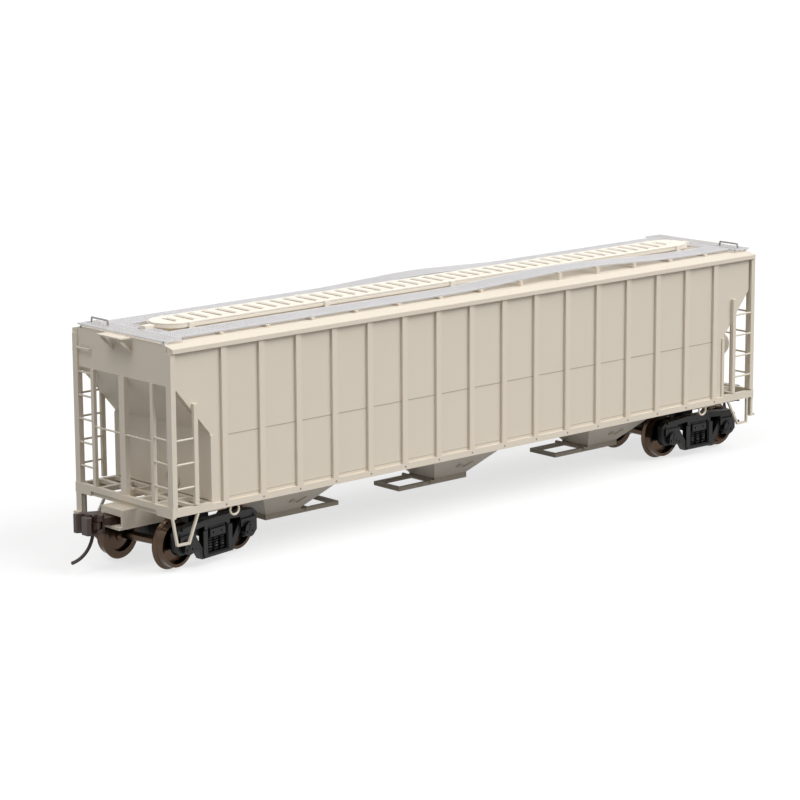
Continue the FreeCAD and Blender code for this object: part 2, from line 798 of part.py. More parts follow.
def coupler():
    """Coupler at end b: shank with its pivot eye, and the fixed part of the head."""
    half_h = shank_height / 2
    low = coupler_z - half_h
    eye = Part.makeCylinder(1.9, shank_height, vec(coupler_pivot_x, 0, low))
    shank = block(coupler_pivot_x, coupler_face_x - 4.4, -shank_width / 2, shank_width / 2,
                  low, low + shank_height)
    head_low = coupler_z - head_height / 2
    face = coupler_face_x
    outline = [
        (face - 5.2, -1.4), (face - 3.6, -2.3), (face - 0.9, -2.6), (face, -3.3),
        (face, -2.2), (face - 1.5, -1.3), (face - 2.0, 0.2), (face - 2.4, 1.0), (face - 5.2, 1.3),
    ]
    head = prism_xy(outline, head_low, head_low + head_height)
    hole = Part.makeCylinder(0.9 + journal_clearance, 3 * shank_height, vec(coupler_pivot_x, 0, low - shank_height))
    slot = block(face - 3.6, face, -0.2, 3.0, coupler_z - 0.9, coupler_z + 0.9)
    ears = prism_xy([(face - 5.2, 0.6), (face - 2.4, 0.6), (face - 1.6, 1.6), (face - 2.2, 2.9),
                     (face - 3.4, 2.9), (face - 5.2, 1.3)], head_low, head_low + head_height)
    solid = fuse_all([eye, shank, head, ears])
    pin_hole = Part.makeCylinder(knuckle_pin_r + journal_clearance, head_height + 2,
                                 vec(face - 2.5, 1.9, head_low - 1))
    return solid.cut(hole).cut(slot).cut(pin_hole)


def knuckle():
    """Swinging knuckle at end b with its pin and the curved trip pin below it."""
    face = coupler_face_x
    half = knuckle_height / 2
    tongue = Part.makeCylinder(0.95, 1.5, vec(face - 2.5, 1.9, coupler_z - 0.75))
    pin = Part.makeCylinder(knuckle_pin_r, head_height + 0.6, vec(face - 2.5, 1.9, coupler_z - head_height / 2 - 0.3))
    arm = prism_xy([(face - 2.4, 1.15), (face - 0.9, 2.4), (face - 1.1, 3.0), (face - 2.6, 2.6)],
                   coupler_z - 0.75, coupler_z + 0.75)
    jaw = prism_xy([(face - 1.3, 2.0), (face - 0.4, 2.9), (face + 0.3, 2.3), (face + 0.3, 0.2),
                    (face - 0.4, -0.1), (face - 0.6, 0.3), (face - 0.5, 1.4)],
                   coupler_z - half, coupler_z + half)
    return fuse_all([tongue, pin, arm, jaw])


def trip_pin():
    """Curved steel pin under the coupler head of end b."""
    face = coupler_face_x
    x = face - 3.6
    top = coupler_z - head_height / 2 + 1.2
    bend_start = vec(x, -1.0, 9.4)
    radius = trip_pin_bend_r
    centre = vec(x + radius, -1.0, 9.4)
    mid_angle = math.radians(180 + 45)
    end_angle = math.radians(180 + 84)

    def on_arc(angle):
        return vec(centre.x + radius * math.cos(angle), centre.y, centre.z + radius * math.sin(angle))
    path = Part.Wire([
        Part.LineSegment(vec(x, -1.0, top), bend_start).toShape(),
        Part.Arc(bend_start, on_arc(mid_angle), on_arc(end_angle)).toShape(),
    ])
    section = Part.Wire([Part.makeCircle(trip_pin_r, vec(x, -1.0, top), vec(0, 0, 1))])
    return path.makePipeShell([section], True, False)


# ---------------------------------------------------------------- trucks
def side_frame():
    """Cast side frame of a roller bearing truck (-Y side), truck centre at the origin."""
    half = [
        (0, 10.9), (4.6, 10.9), (12.4, 10.3), (13.6, 9.2), (13.6, 5.2), (12.6, 4.2), (8.7, 4.2),
        (8.7, 7.2), (5.2, 1.9), (0, 1.9),
    ]
    outline = half + [(-x, z) for x, z in reversed(half[1:-1])]
    inner = -frame_inner_y
    outer = -frame_outer_y
    frame = prism_xz(outline, outer, inner)
    for side in (-1, 1):
        triangle = [(side * 4.3, 9.4), (side * 8.1, 9.1), (side * 4.3, 3.3)]
        frame = frame.cut(prism_xz(triangle, outer - 1, inner + 1))
    window = block(-3.2, 3.2, outer - 1, inner + 1, spring_seat_z, 8.9)
    frame = frame.cut(window)
    flange_top = prism_xz([(-12.0, 9.7), (12.0, 9.7), (12.0, 10.3), (4.6, 10.9), (-4.6, 10.9),
                           (-12.0, 10.3)], outer - 0.4, outer)
    pieces = [frame, flange_top]
    for side in (-1, 1):
        x = side * wheelbase / 2
        cap = Part.makeCylinder(bearing_r, bearing_cap_y - frame_inner_y, vec(x, -bearing_cap_y, axle_z), vec(0, 1, 0))
        box_half = 2.6
        adapter = block(x - box_half, x + box_half, outer - 0.5, inner, axle_z + 0.9, axle_z + 2.6)
        pieces.extend([cap, adapter])
    solid = fuse_all(pieces)
    cone_half_angle = math.radians(30)
    reach = axle_tip_y + journal_clearance
    for side in (-1, 1):
        base = reach - frame_inner_y + 1.0
        cone = Part.makeCone(base * math.tan(cone_half_angle), 0, base,
                             vec(side * wheelbase / 2, -frame_inner_y + 1.0, axle_z), vec(0, -1, 0))
        solid = solid.cut(cone)
    return solid


def truck_bolster():
    """Bolster across the truck, with its centre plate and the kingpin hole."""
    half_y = frame_outer_y - 0.1
    beam = block(-bolster_half_width, bolster_half_width, -half_y, half_y, bolster_low_z, 8.7)
    middle = block(-3.4, 3.4, -7.0, 7.0, 7.0, 10.6)
    plate = Part.makeCylinder(centre_plate_r, centre_plate_top_z - 10.0, vec(0, 0, 10.0))
    hole = Part.makeCylinder(kingpin_r + kingpin_clearance, 20, vec(0, 0, 0))
    return fuse_all([beam, middle, plate]).cut(hole)


def truck_springs():
    """Spring groups under the bolster ends, standing in the side frame windows."""
    found = []
    y = (frame_inner_y + frame_outer_y) / 2
    for side in (-1, 1):
        for x in (-2.1, 0.0, 2.1):
            found.append(Part.makeCylinder(spring_r, bolster_low_z - spring_seat_z, vec(x, side * y, spring_seat_z)))
    return solids_of(found)


def wheelset():
    """Two flanged wheels on a pointed axle, axle along Y through the origin."""
    back = wheel_back_y
    face = back + wheel_width
    root = back + flange_width
    hub_r = 1.9
    plate_r = 3.9
    cone_half_angle = math.radians(30)
    cone_len = axle_r / math.tan(cone_half_angle)
    half = [
        (0, 0), (axle_r, 0), (axle_r, back - 0.6), (hub_r, back - 0.3), (hub_r, back + 0.2),
        (plate_r, back + 0.7), (plate_r + 0.3, back), (flange_r - 0.25, back),
        (flange_r, back + 0.35), (tread_r + 0.1, root), (tread_r, root + 0.15),
        (tread_r - 0.06, face), (plate_r + 0.55, face), (plate_r + 0.25, face - 1.3),
        (hub_r, face - 0.9), (hub_r - 0.2, face + 0.15), (axle_r, face + 0.15),
        (axle_r, axle_tip_y - cone_len), (0, axle_tip_y),
    ]
    points = [vec(r, y, 0) for r, y in half]
    side = Part.Face(Part.makePolygon(points + [points[0]]))
    solid = side.revolve(vec(0, 0, 0), vec(0, 1, 0), 360)
    return solid.fuse(mirror_y(solid)).removeSplitter()


def placed_in_truck(shape, end_sign, turn):
    """A piece from the truck's own frame, turned and set under its end of the car."""
    moved = shape.copy()
    moved.rotate(vec(0, 0, 0), vec(0, 0, 1), turn)
    moved.translate(vec(end_sign * truck_centre_x, 0, 0))
    return moved


def placed_wheelset(end_sign, place_sign, turn):
    """A wheelset at one axle of a truck."""
    moved = wheelset()
    moved.translate(vec(place_sign * wheelbase / 2, 0, axle_z))
    return placed_in_truck(moved, end_sign, turn)


def truck_screws():
    """Screws that hold the trucks under the body bolsters."""
    head_height = 0.8
    head_low = bolster_low_z - centre_plate_gap - head_height
    length = centre_sill_bottom_z + 1.0 - head_low
    found = []
    for side in (-1, 1):
        x = side * truck_centre_x
        shank = Part.makeCylinder(kingpin_r, length, vec(x, 0, head_low))
        head = Part.makeCylinder(screw_head_r, head_height, vec(x, 0, head_low))
        found.append(fuse_all([shank, head]))
    return solids_of(found)


# ---------------------------------------------------------------- assembly
def build():
    parts = {}
    panel = side_panel()
    parts["side_right"] = panel
    parts["side_left"] = mirror_y(panel)
    parts["roof"] = roof()
    parts["hatch_cover"] = hatch_cover()
    parts["hatch_clamps"] = hatch_clamps()
    parts["running_board_right"] = running_board(bow_right)
    parts["running_board_left"] = mirror_y(running_board(bow_left))
    parts["ridge_sheets"] = ridge_sheets()
    parts["centre_sill"] = centre_sill()
    parts["floor_plates"] = floor_plates()
    parts["handrails"] = handrails()
    parts["tie_rings"] = tie_rings()
    parts["ballast_weights"] = ballast_weights()
    parts["truck_screws"] = truck_screws()
    parts["air_reservoir"] = air_reservoir()
    parts["brake_valve"] = brake_valve()
    for n, centre in enumerate(bay_xs):
        reach_sign = 1 if n == 0 else -1
        parts["hopper_bay_%d" % (n + 1)] = hopper_bay(centre)
        parts["outlet_gate_%d" % (n + 1)] = outlet_gate(centre, reach_sign)
    wires = parts["handrails"]
    parts["hand_brake"] = hand_brake().cut(slope_sheet()).cut(wires)
    boards = [parts["running_board_right"], parts["running_board_left"]]
    parts["board_brackets"] = solids_of([board_brackets().cut(boards)])
    platforms = [platform(), half_turn(platform())]
    parts["sill_steps"] = solids_of([sill_steps().cut(platforms)])
    walkway = end_walkway().cut(parts["roof"])
    walkways = [walkway, mirror_x(walkway)]
    parts["roof_grabs"] = solids_of([roof_grabs().cut(walkways)])
    for end, sign, turn in (("a", -1, truck_turn_a), ("b", 1, truck_turn_b)):
        parts["end_sheet_" + end] = at_end(end_sheet(), sign)
        parts["slope_sheet_" + end] = at_end(slope_sheet(), sign)
        parts["bulkhead_" + end] = at_end(bulkhead(sign < 0), sign)
        parts["end_walkway_" + end] = at_end(walkway, sign)
        parts["end_step_" + end] = at_end(end_step(), sign)
        for name, piece in (("platform_", platform()),
                            ("end_posts_", solids_of([end_posts().cut(slope_sheet())])),
                            ("ladders_", solids_of([ladders().cut(slope_sheet())])),
                            ("draft_box_", draft_box()),
                            ("coupler_", coupler().cut(trip_pin())),
                            ("knuckle_", knuckle()), ("trip_pin_", trip_pin())):
            parts[name + end] = piece if sign > 0 else half_turn(piece)
        frame = side_frame()
        frames = solids_of([frame, mirror_y(frame)])
        parts["truck_%s_side_frames" % end] = placed_in_truck(frames, sign, turn)
        parts["truck_%s_bolster" % end] = placed_in_truck(truck_bolster(), sign, turn)
        parts["truck_%s_springs" % end] = placed_in_truck(truck_springs(), sign, turn)
        for place, place_sign in (("outer", sign), ("inner", -sign)):
            parts["wheelset_%s_%s" % (end, place)] = placed_wheelset(sign, place_sign, turn)
    return parts


def write_parts(parts):
    os.makedirs("parts", exist_ok=True)
    for name, shape in sorted(parts.items()):
        if not shape.isValid():
            raise ValueError("shape is not valid: " + name)
        shape.exportStep(os.path.join("parts", name + ".step"))
    print(len(parts), "parts written")


write_parts(build())
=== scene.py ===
import json
import math
import bpy
from mathutils import Matrix, Vector


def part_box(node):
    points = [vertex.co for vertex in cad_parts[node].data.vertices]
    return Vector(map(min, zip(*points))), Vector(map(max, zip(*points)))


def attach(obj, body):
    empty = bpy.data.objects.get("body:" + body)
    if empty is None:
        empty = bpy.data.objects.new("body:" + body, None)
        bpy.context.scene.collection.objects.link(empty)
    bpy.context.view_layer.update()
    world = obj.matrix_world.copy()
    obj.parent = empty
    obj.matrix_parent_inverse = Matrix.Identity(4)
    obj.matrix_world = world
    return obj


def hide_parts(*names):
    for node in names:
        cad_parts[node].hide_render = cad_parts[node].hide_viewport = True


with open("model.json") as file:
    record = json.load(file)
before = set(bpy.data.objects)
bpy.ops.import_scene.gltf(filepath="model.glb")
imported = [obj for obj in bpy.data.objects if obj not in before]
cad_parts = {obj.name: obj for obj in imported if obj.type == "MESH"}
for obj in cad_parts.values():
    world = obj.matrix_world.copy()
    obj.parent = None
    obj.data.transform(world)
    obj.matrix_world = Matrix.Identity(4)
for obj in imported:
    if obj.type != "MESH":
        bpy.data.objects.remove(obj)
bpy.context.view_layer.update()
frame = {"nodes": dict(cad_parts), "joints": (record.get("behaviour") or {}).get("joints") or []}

# Looks of the covered hopper scale model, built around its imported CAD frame.
# Small sizes are written in millimetres and turned into metres by MM when a mesh is made.
MM = 0.001
joints = {joint["name"]: joint for joint in frame["joints"]}


# ---------------------------------------------------------------- places from the frame
class Box:
    """A node's box at rest, in millimetres."""

    def __init__(self, node):
        low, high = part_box(node)
        self.x0, self.y0, self.z0 = (value / MM for value in low)
        self.x1, self.y1, self.z1 = (value / MM for value in high)


roof_box = Box("roof")
hatch_box = Box("hatch_cover")
board_box = Box("running_board_right")


def truck_place(end):
    """Matrix (in millimetres) from a truck's own frame to its place under the body."""
    joint = joints["truck_%s_swivel" % end]
    turn = -math.radians(sum(joint["range_deg"]) / 2)
    place = Vector(joint["pos_m"]) / MM
    place.z = 0
    return Matrix.Translation(place) @ Matrix.Rotation(turn, 4, "Z")


# ---------------------------------------------------------------- materials
def srgb(red, green, blue):
    """Linear colour from screen values of 0 to 255."""
    def linear(value):
        value /= 255
        return value / 12.92 if value <= 0.04045 else ((value + 0.055) / 1.055) ** 2.4
    return (linear(red), linear(green), linear(blue), 1)


def finish(name, colour, rough, metallic=0.0, vary=0.03, patch_mm=14.0, grain_mm=0.25, grain_depth=0.004,
           coat=0.0, specular=0.5, highlight_colour=None, highlight_y_mm=0.0):
    """Procedural surface: slow colour drift, uneven gloss and a fine moulded or cast grain.

    With the lighter second colour, what stands further from the car's middle plane than the given distance in
    millimetres has that colour: a painted highlight standing in for light caught by the rib faces and other parts
    that stand out."""
    material = bpy.data.materials.new(name)
    material.use_nodes = True
    nodes = material.node_tree.nodes
    links = material.node_tree.links
    shader = nodes["Principled BSDF"]
    shader.inputs["Metallic"].default_value = metallic
    shader.inputs["Coat Weight"].default_value = coat
    shader.inputs["Specular IOR Level"].default_value = specular
    place = nodes.new("ShaderNodeTexCoord")
    patches = nodes.new("ShaderNodeTexNoise")
    patches.inputs["Scale"].default_value = 1 / (patch_mm * MM)
    patches.inputs["Detail"].default_value = 5
    links.new(place.outputs["Object"], patches.inputs["Vector"])
    tint = nodes.new("ShaderNodeMix")
    tint.data_type = "RGBA"
    tint.inputs["A"].default_value = tuple(c * (1 - vary) for c in colour[:3]) + (1,)
    tint.inputs["B"].default_value = tuple(min(1, c * (1 + vary)) for c in colour[:3]) + (1,)
    links.new(patches.outputs["Fac"], tint.inputs["Factor"])
    colour_out = tint.outputs["Result"]
    # Painted highlight: faces standing out past the given distance get the lighter colour, for the light they
    # catch.
    if highlight_colour:
        parts = nodes.new("ShaderNodeSeparateXYZ")
        links.new(place.outputs["Object"], parts.inputs["Vector"])
        away = nodes.new("ShaderNodeMath")
        away.operation = "ABSOLUTE"
        links.new(parts.outputs["Y"], away.inputs[0])
        past = nodes.new("ShaderNodeMath")
        past.operation = "GREATER_THAN"
        past.inputs[1].default_value = highlight_y_mm * MM
        links.new(away.outputs[0], past.inputs[0])
        highlight_mix = nodes.new("ShaderNodeMix")
        highlight_mix.data_type = "RGBA"
        highlight_mix.inputs["B"].default_value = highlight_colour
        links.new(colour_out, highlight_mix.inputs["A"])
        links.new(past.outputs[0], highlight_mix.inputs["Factor"])
        colour_out = highlight_mix.outputs["Result"]
    links.new(colour_out, shader.inputs["Base Color"])
    gloss = nodes.new("ShaderNodeMapRange")
    gloss.inputs["To Min"].default_value = rough * 0.85
    gloss.inputs["To Max"].default_value = min(1, rough * 1.15)
    links.new(patches.outputs["Fac"], gloss.inputs["Value"])
    links.new(gloss.outputs["Result"], shader.inputs["Roughness"])
    grain = nodes.new("ShaderNodeTexNoise")
    grain.inputs["Scale"].default_value = 1 / (grain_mm * MM)
    grain.inputs["Detail"].default_value = 3
    links.new(place.outputs["Object"], grain.inputs["Vector"])
    bump = nodes.new("ShaderNodeBump")
    bump.inputs["Strength"].default_value = 0.6
    bump.inputs["Distance"].default_value = grain_depth * MM
    links.new(grain.outputs["Fac"], bump.inputs["Height"])
    links.new(bump.outputs["Normal"], shader.inputs["Normal"])
    return material


CREAM = srgb(217, 207, 191)
# Painted highlight: a lighter cream for the rib faces and other side parts that stand out, standing in for the
# light they catch.
RIB_HIGHLIGHT_CREAM = srgb(221, 210, 194)
paint = finish("body_paint", CREAM, 0.5, vary=0.015)
# The side paint carries the painted highlight on its ribs.
side_paint_rib_highlight = finish("side_paint_rib_highlight", CREAM, 0.5, vary=0.015, highlight_colour=RIB_HIGHLIGHT_CREAM, highlight_y_mm=17.9)
# Painted highlight: the hatch is a lighter copy of the body cream, standing in for the light its top catches from
# above.
hatch_highlight_paint = finish("hatch_highlight_paint", srgb(236, 229, 217), 0.5, vary=0.015)
# Painted shadow colour for the dark strips beside the hatch ribs.
painted_rib_shadow = finish("painted_rib_shadow", srgb(142, 128, 106), 0.6, vary=0.03)
gate_paint = finish("gate_paint", srgb(176, 165, 150), 0.55, vary=0.04, patch_mm=4)
truck_black = finish("truck_black", srgb(16, 15, 15), 0.34, vary=0.12, patch_mm=5, grain_depth=0.01,
                     specular=0.35)
coupler_brown = finish("coupler_brown", srgb(56, 37, 31), 0.36, vary=0.12, patch_mm=3, grain_depth=0.01)
bronze = finish("wheel_bronze", srgb(84, 69, 58), 0.22, metallic=1.0, vary=0.1, patch_mm=3, grain_depth=0.002)
etched = finish("etched_metal", srgb(222, 221, 223), 0.4, metallic=0.2, vary=0.03, patch_mm=4)
wire_metal = finish("bare_wire", srgb(150, 146, 144), 0.3, metallic=1.0, vary=0.05, patch_mm=3)
dark_wire = finish("blackened_wire", srgb(46, 38, 36), 0.4, metallic=0.6, vary=0.1, patch_mm=3)
steel = finish("plain_steel", srgb(165, 165, 168), 0.35, metallic=1.0, vary=0.06, patch_mm=6)
seam_shade = finish("seam_shade", srgb(178, 168, 152), 0.55, vary=0.02)
rivet_shade = finish("rivet_shade", srgb(150, 132, 118), 0.5, vary=0.04)

NODE_FINISH = {
    "truck_a_": truck_black, "truck_b_": truck_black, "truck_screws": steel, "wheelset": bronze,
    "coupler": coupler_brown, "knuckle": coupler_brown, "trip_pin": dark_wire, "hatch": hatch_highlight_paint,
    "running_board": etched, "end_walkway": etched, "roof_grabs": wire_metal, "ballast": steel,
    "side_": side_paint_rib_highlight, "outlet_gate": gate_paint,
}


def finish_of(node):
    for start, material in NODE_FINISH.items():
        if node.startswith(start):
            return material
    return paint


for name, node in frame["nodes"].items():
    node.data.materials.clear()
    node.data.materials.append(finish_of(name))


# ---------------------------------------------------------------- mesh building
class Form:
    """Collects faces in millimetres and turns them into one piece."""

    def __init__(self, place=None):
        self.points = []
        self.faces = []
        self.place = place or Matrix.Identity(4)

    def add(self, points, faces):
        start = len(self.points)
        self.points.extend(self.place @ Vector(point) for point in points)
        self.faces.extend([start + index for index in face] for face in faces)

    def block(self, x0, x1, y0, y1, z0, z1, chamfer=0.0):
        """Box whose long edges are cut by a small chamfer on all sides."""
        xs, ys, zs = sorted((x0, x1)), sorted((y0, y1)), sorted((z0, z1))
        c = min(chamfer, (xs[1] - xs[0]) / 3, (ys[1] - ys[0]) / 3, (zs[1] - zs[0]) / 3)
        if c <= 0:
            corners = [(x, y, z) for z in zs for y in ys for x in xs]
            self.add(corners, [(0, 2, 3, 1), (4, 5, 7, 6), (0, 1, 5, 4), (2, 6, 7, 3), (0, 4, 6, 2), (1, 3, 7, 5)])
            return
        layers = [(zs[0], c), (zs[0] + c, 0), (zs[1] - c, 0), (zs[1], c)]
        rings = []
        for z, inset in layers:
            x_low, x_high, y_low, y_high = xs[0] + inset, xs[1] - inset, ys[0] + inset, ys[1] - inset
            rings.append([(x_low + c, y_low, z), (x_high - c, y_low, z), (x_high, y_low + c, z),
                          (x_high, y_high - c, z), (x_high - c, y_high, z), (x_low + c, y_high, z),
                          (x_low, y_high - c, z), (x_low, y_low + c, z)])
        self.skin(rings)

    def skin(self, rings, closed=True):
        """Joins rings of equal count; closed caps both ends."""
        count = len(rings[0])
        faces = []
        for r in range(len(rings) - 1):
            for n in range(count):
                a = r * count + n
                b = r * count + (n + 1) % count
                faces.append((a, b, b + count, a + count))
        if closed:
            faces.append(tuple(reversed(range(count))))
            faces.append(tuple(range((len(rings) - 1) * count, len(rings) * count)))
        self.add([point for ring in rings for point in ring], faces)

    def tube(self, path, radius, sides=10):
        """Round bar along a path of points, with square ends."""
        path = [Vector(point) for point in path]
        rings = []
        side = None
        for n, point in enumerate(path):
            ahead = (path[min(n + 1, len(path) - 1)] - path[max(n - 1, 0)]).normalized()
            if side is None:
                side = ahead.orthogonal().normalized()
            side = (side - ahead * side.dot(ahead)).normalized()
            other = ahead.cross(side)
            rings.append([point + (side * math.cos(a) + other * math.sin(a)) * radius
                          for a in (2 * math.pi * k / sides for k in range(sides))])
        self.skin(rings)

    def lathe(self, centre, axis, profile, sides=16):
        """Turned shape: profile is (radius, distance along axis) from one end to the other."""
        centre = Vector(centre)
        axis = Vector(axis).normalized()
        side = axis.orthogonal().normalized()
        other = axis.cross(side)
        rings = [[centre + axis * along + (side * math.cos(a) + other * math.sin(a)) * radius
                  for a in (2 * math.pi * k / sides for k in range(sides))] for radius, along in profile]
        self.skin(rings)

    def rivet(self, centre, axis, radius, height, sides=8):
        """Low round head standing on a surface."""
        self.lathe(centre, axis, [(radius, -0.03), (radius, height * 0.3), (radius * 0.75, height * 0.8),
                                  (radius * 0.3, height)], sides)

    def bolt(self, centre, axis, radius, height):
        """Hexagon bolt head on a washer."""
        self.lathe(centre, axis, [(radius * 1.35, -0.02), (radius * 1.35, height * 0.25)], 12)
        self.lathe(centre, axis, [(radius, height * 0.2), (radius, height * 0.85), (radius * 0.8, height)], 6)

    def piece(self, name, body, material, smooth=35):
        """Makes the object, sets its finish and lets it ride on a body."""
        mesh = bpy.data.meshes.new(name)
        mesh.from_pydata([tuple(point * MM) for point in self.points], [], self.faces)
        mesh.validate()
        mesh.materials.append(material)
        mesh.shade_smooth()
        mesh.set_sharp_from_angle(angle=math.radians(smooth))
        thing = bpy.data.objects.new(name, mesh)
        bpy.context.scene.collection.objects.link(thing)
        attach(thing, body)
        return thing


# ---------------------------------------------------------------- roof walkways
BOARD_THICK = 0.3
HATCH_RIB_PITCH = 4.0
HATCH_ROUND_END = 3.0
# Offset of the painted rib shadows from the rib positions.
RIB_SHADOW_SHIFT = 1.62


def bow_of(side):
    """Top line of a board as (x, z) points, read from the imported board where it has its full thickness."""
    node = frame["nodes"]["running_board_" + side]
    heights = {}
    for vertex in node.data.vertices:
        heights.setdefault(round(vertex.co.x / MM, 2), []).append(vertex.co.z / MM)
    full = [(x, max(values)) for x, values in heights.items() if max(values) - min(values) > 0.8 * BOARD_THICK]
    return sorted(full)


def height_at(line, x):
    """Height of a line of (x, z) points at x."""
    for (xa, za), (xb, zb) in zip(line, line[1:]):
        if xa <= x <= xb:
            return za + (zb - za) * (x - xa) / max(xb - xa, 1e-9)
    return line[0][1] if x < line[0][0] else line[-1][1]


def running_board(side, sign):
    """See-through etched board: edge strips, long bars and close cross bars that follow the bow."""
    line = bow_of(side)
    form = Form()
    inner = sign * abs(board_box.y1)
    outer = sign * abs(board_box.y0)
    x0, x1 = board_box.x0, board_box.x1
    steps = 96
    xs = [x0 + (x1 - x0) * n / steps for n in range(steps + 1)]
    bars = 9
    for n in range(bars):
        y = inner + (outer - inner) * n / (bars - 1)
        half = 0.16 if n in (0, bars - 1) else 0.07
        y = y - math.copysign(half, y - (inner + outer) / 2) if n in (0, bars - 1) else y
        rings = []
        for x in xs:
            top = height_at(line, x)
            rings.append([(x, y - half, top - BOARD_THICK), (x, y + half, top - BOARD_THICK),
                          (x, y + half, top), (x, y - half, top)])
        form.skin(rings)
    pitch = 0.62
    count = int((x1 - x0) / pitch)
    for n in range(count + 1):
        x = x0 + 0.1 + (x1 - x0 - 0.2) * n / count
        top = height_at(line, x) - 0.02
        form.block(x - 0.1, x + 0.1, inner, outer, top - BOARD_THICK + 0.06, top)
    board = form.piece("etched_board_" + side, "car_body", etched)
    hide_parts("running_board_" + side)


def grid_plate(form, x0, x1, y0, y1, top, pitch=0.8, bar=0.07, edge=0.2):
    """Flat see-through plate: a rim and two sets of bars."""
    low = top - BOARD_THICK
    for y in (y0 + edge / 2, y1 - edge / 2):
        form.block(x0, x1, y - edge / 2, y + edge / 2, low, top)
    for x in (x0 + edge / 2, x1 - edge / 2):
        form.block(x - edge / 2, x + edge / 2, y0, y1, low, top)
    for n in range(1, max(2, round((x1 - x0) / pitch))):
        x = x0 + (x1 - x0) * n / max(2, round((x1 - x0) / pitch))
        form.block(x - bar, x + bar, y0, y1, low + 0.08, top - 0.02)
    for n in range(1, max(2, round((y1 - y0) / pitch))):
        y = y0 + (y1 - y0) * n / max(2, round((y1 - y0) / pitch))
        form.block(x0, x1, y - bar, y + bar, low + 0.1, top - 0.04)


def end_walkway(end, sign):
    """Etched cross walkway with its posts and the two tongues beside the hatch."""
    box = Box("end_walkway_" + end)
    board_end = abs(board_box.x1)
    outer = max(abs(box.x0), abs(box.x1))
    inner = min(abs(box.x0), abs(box.x1))
    tongue_y = abs(board_box.y1) - 0.4
    form = Form(Matrix.Scale(sign, 4, (1, 0, 0)))
    grid_plate(form, board_end, outer, box.y0, box.y1, box.z1)
    for side in (-1, 1):
        y0, y1 = sorted((side * 1.3, side * tongue_y))
        grid_plate(form, inner, board_end, y0, y1, box.z1)
        post = side * (box.y1 - 0.6)
        form.block(outer - 1.2, outer - 0.4, post - 0.4, post + 0.4, roof_box.z0 + 1.3, box.z1 - 0.2, 0.06)
    plate = form.piece("etched_walkway_" + end, "car_body", etched)
    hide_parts("end_walkway_" + end)


def hatch_rib_painted_shadows():
    """Painted shadow: a dark tapered strip beside each cross rib of the hatch cover, where the rib's shade falls
    in its groove.
    """
    form = Form()
    count = int((hatch_box.x1 - HATCH_ROUND_END) / HATCH_RIB_PITCH)
    low = hatch_box.z1 - 0.3
    for n in range(-count, count + 1):
        x = n * HATCH_RIB_PITCH - RIB_SHADOW_SHIFT
        reach = 3.7 if abs(n) < count else 2.6
        outline = [(-0.36, -0.8), (-0.3, 0.8), (-0.1, 1.0), (0.14, 0.9), (0.36, -0.7), (0.2, -0.96), (-0.16, -1.0)]
        form.skin([[(x + across, along * reach, z) for across, along in outline] for z in (low, low + 0.06)])
    form.piece("hatch_rib_painted_shadows", "car_body", painted_rib_shadow)


hatch_rib_painted_shadows()
running_board("right", -1)
running_board("left", 1)
end_walkway("a", -1)
end_walkway("b", 1)


# ---------------------------------------------------------------- body seams and rivets
RIB_COUNT = 16
RIB_PITCH = 10.73
SHEET_Y = 17.6
SEAM_Z = 30.65
LAP_Z = 16.42
PANEL_END_X = 84.0
RIB_HALF = 0.78
RIB_FOOT_Z = 14.95


def side_details(name, sign):
    """Weld seam across the panels, lap line above the sill and rivets at the ribs' feet."""
    first = -RIB_PITCH * (RIB_COUNT - 1) / 2
    seams = Form(Matrix.Scale(sign, 4, (0, 1, 0)))
    rivets = Form(Matrix.Scale(sign, 4, (0, 1, 0)))
    edge_x = [-PANEL_END_X] + [first + n * RIB_PITCH for n in range(RIB_COUNT)] + [PANEL_END_X]
    for n, (x0, x1) in enumerate(zip(edge_x, edge_x[1:])):
        start = x0 + RIB_HALF
        end = x1 - RIB_HALF
        if 0 < n < RIB_COUNT:
            seams.block(start, end, SHEET_Y - 0.1, SHEET_Y + 0.05, SEAM_Z - 0.11, SEAM_Z + 0.11)
            seams.block(start, end, SHEET_Y - 0.1, SHEET_Y + 0.03, LAP_Z - 0.07, LAP_Z + 0.08)
    for n in range(RIB_COUNT):
        x = first + n * RIB_PITCH
        rivets.rivet((x, SHEET_Y + 0.6, RIB_FOOT_Z), (0, 1, 0), 0.24, 0.12)
    seams.piece("side_seams_" + name, "car_body", seam_shade)
    rivets.piece("rib_foot_rivets_" + name, "car_body", rivet_shade)


side_details("right", -1)
side_details("left", 1)


# ---------------------------------------------------------------- funnel latches
FUNNEL_SLOPE = 1.04
FUNNEL_FOOT_Y = 4.6
LATCH_SHIFT = 1.5
LATCH_UP = 4.0


def funnel_front(x, up, sign):
    """Matrix for a detail on a funnel's sloping front: X along the car, Y up the slope, Z outward."""
    gate = Box("outlet_gate_2")
    lean = math.atan(FUNNEL_SLOPE)
    tangent = Vector((0, sign * math.sin(lean), math.cos(lean)))
    along = Vector((1, 0, 0))
    outward = Vector((0, sign * math.cos(lean), -math.sin(lean)))
    start = Vector((x, sign * FUNNEL_FOOT_Y, gate.z1)) + tangent * up
    return Matrix.Translation(start) @ Matrix((along, tangent, outward)).transposed().to_4x4()


